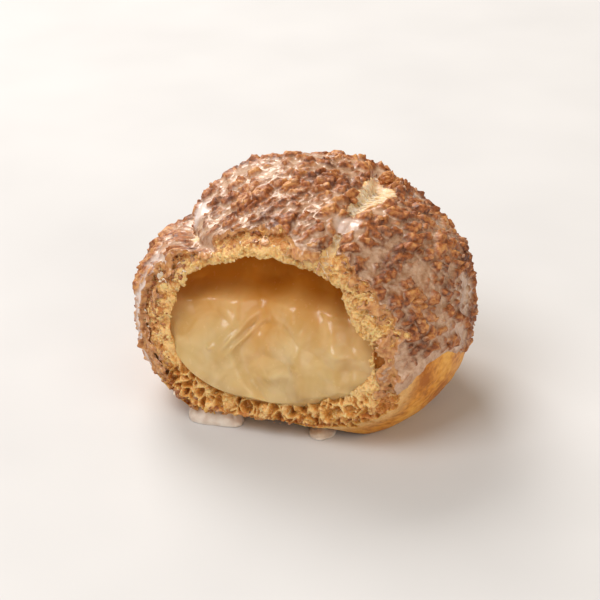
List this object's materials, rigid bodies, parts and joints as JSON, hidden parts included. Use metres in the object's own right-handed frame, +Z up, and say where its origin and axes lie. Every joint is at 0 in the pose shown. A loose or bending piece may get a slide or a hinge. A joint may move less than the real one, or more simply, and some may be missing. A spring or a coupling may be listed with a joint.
{
  "type": "cream puff",
  "caption": "Round choux bun with a craggy, glazed crust, torn open at the front left to show the smooth custard that fills it.",
  "frame": {"origin": "under the middle of the puff's bounding box, on the plane it rests on", "axes": "+Z up, the torn face looks towards -Y and a little towards -X, +X to the right of the torn face"},
  "size_m": [0.0916, 0.0837, 0.0625],
  "materials": {
    "choux": "matte",
    "custard": "satin",
    "craquelin": "satin",
    "glaze": "gloss"
  },
  "bodies": {
    "root": {"choux_shell": "choux", "custard": "custard"}
  },
  "joints": []
}
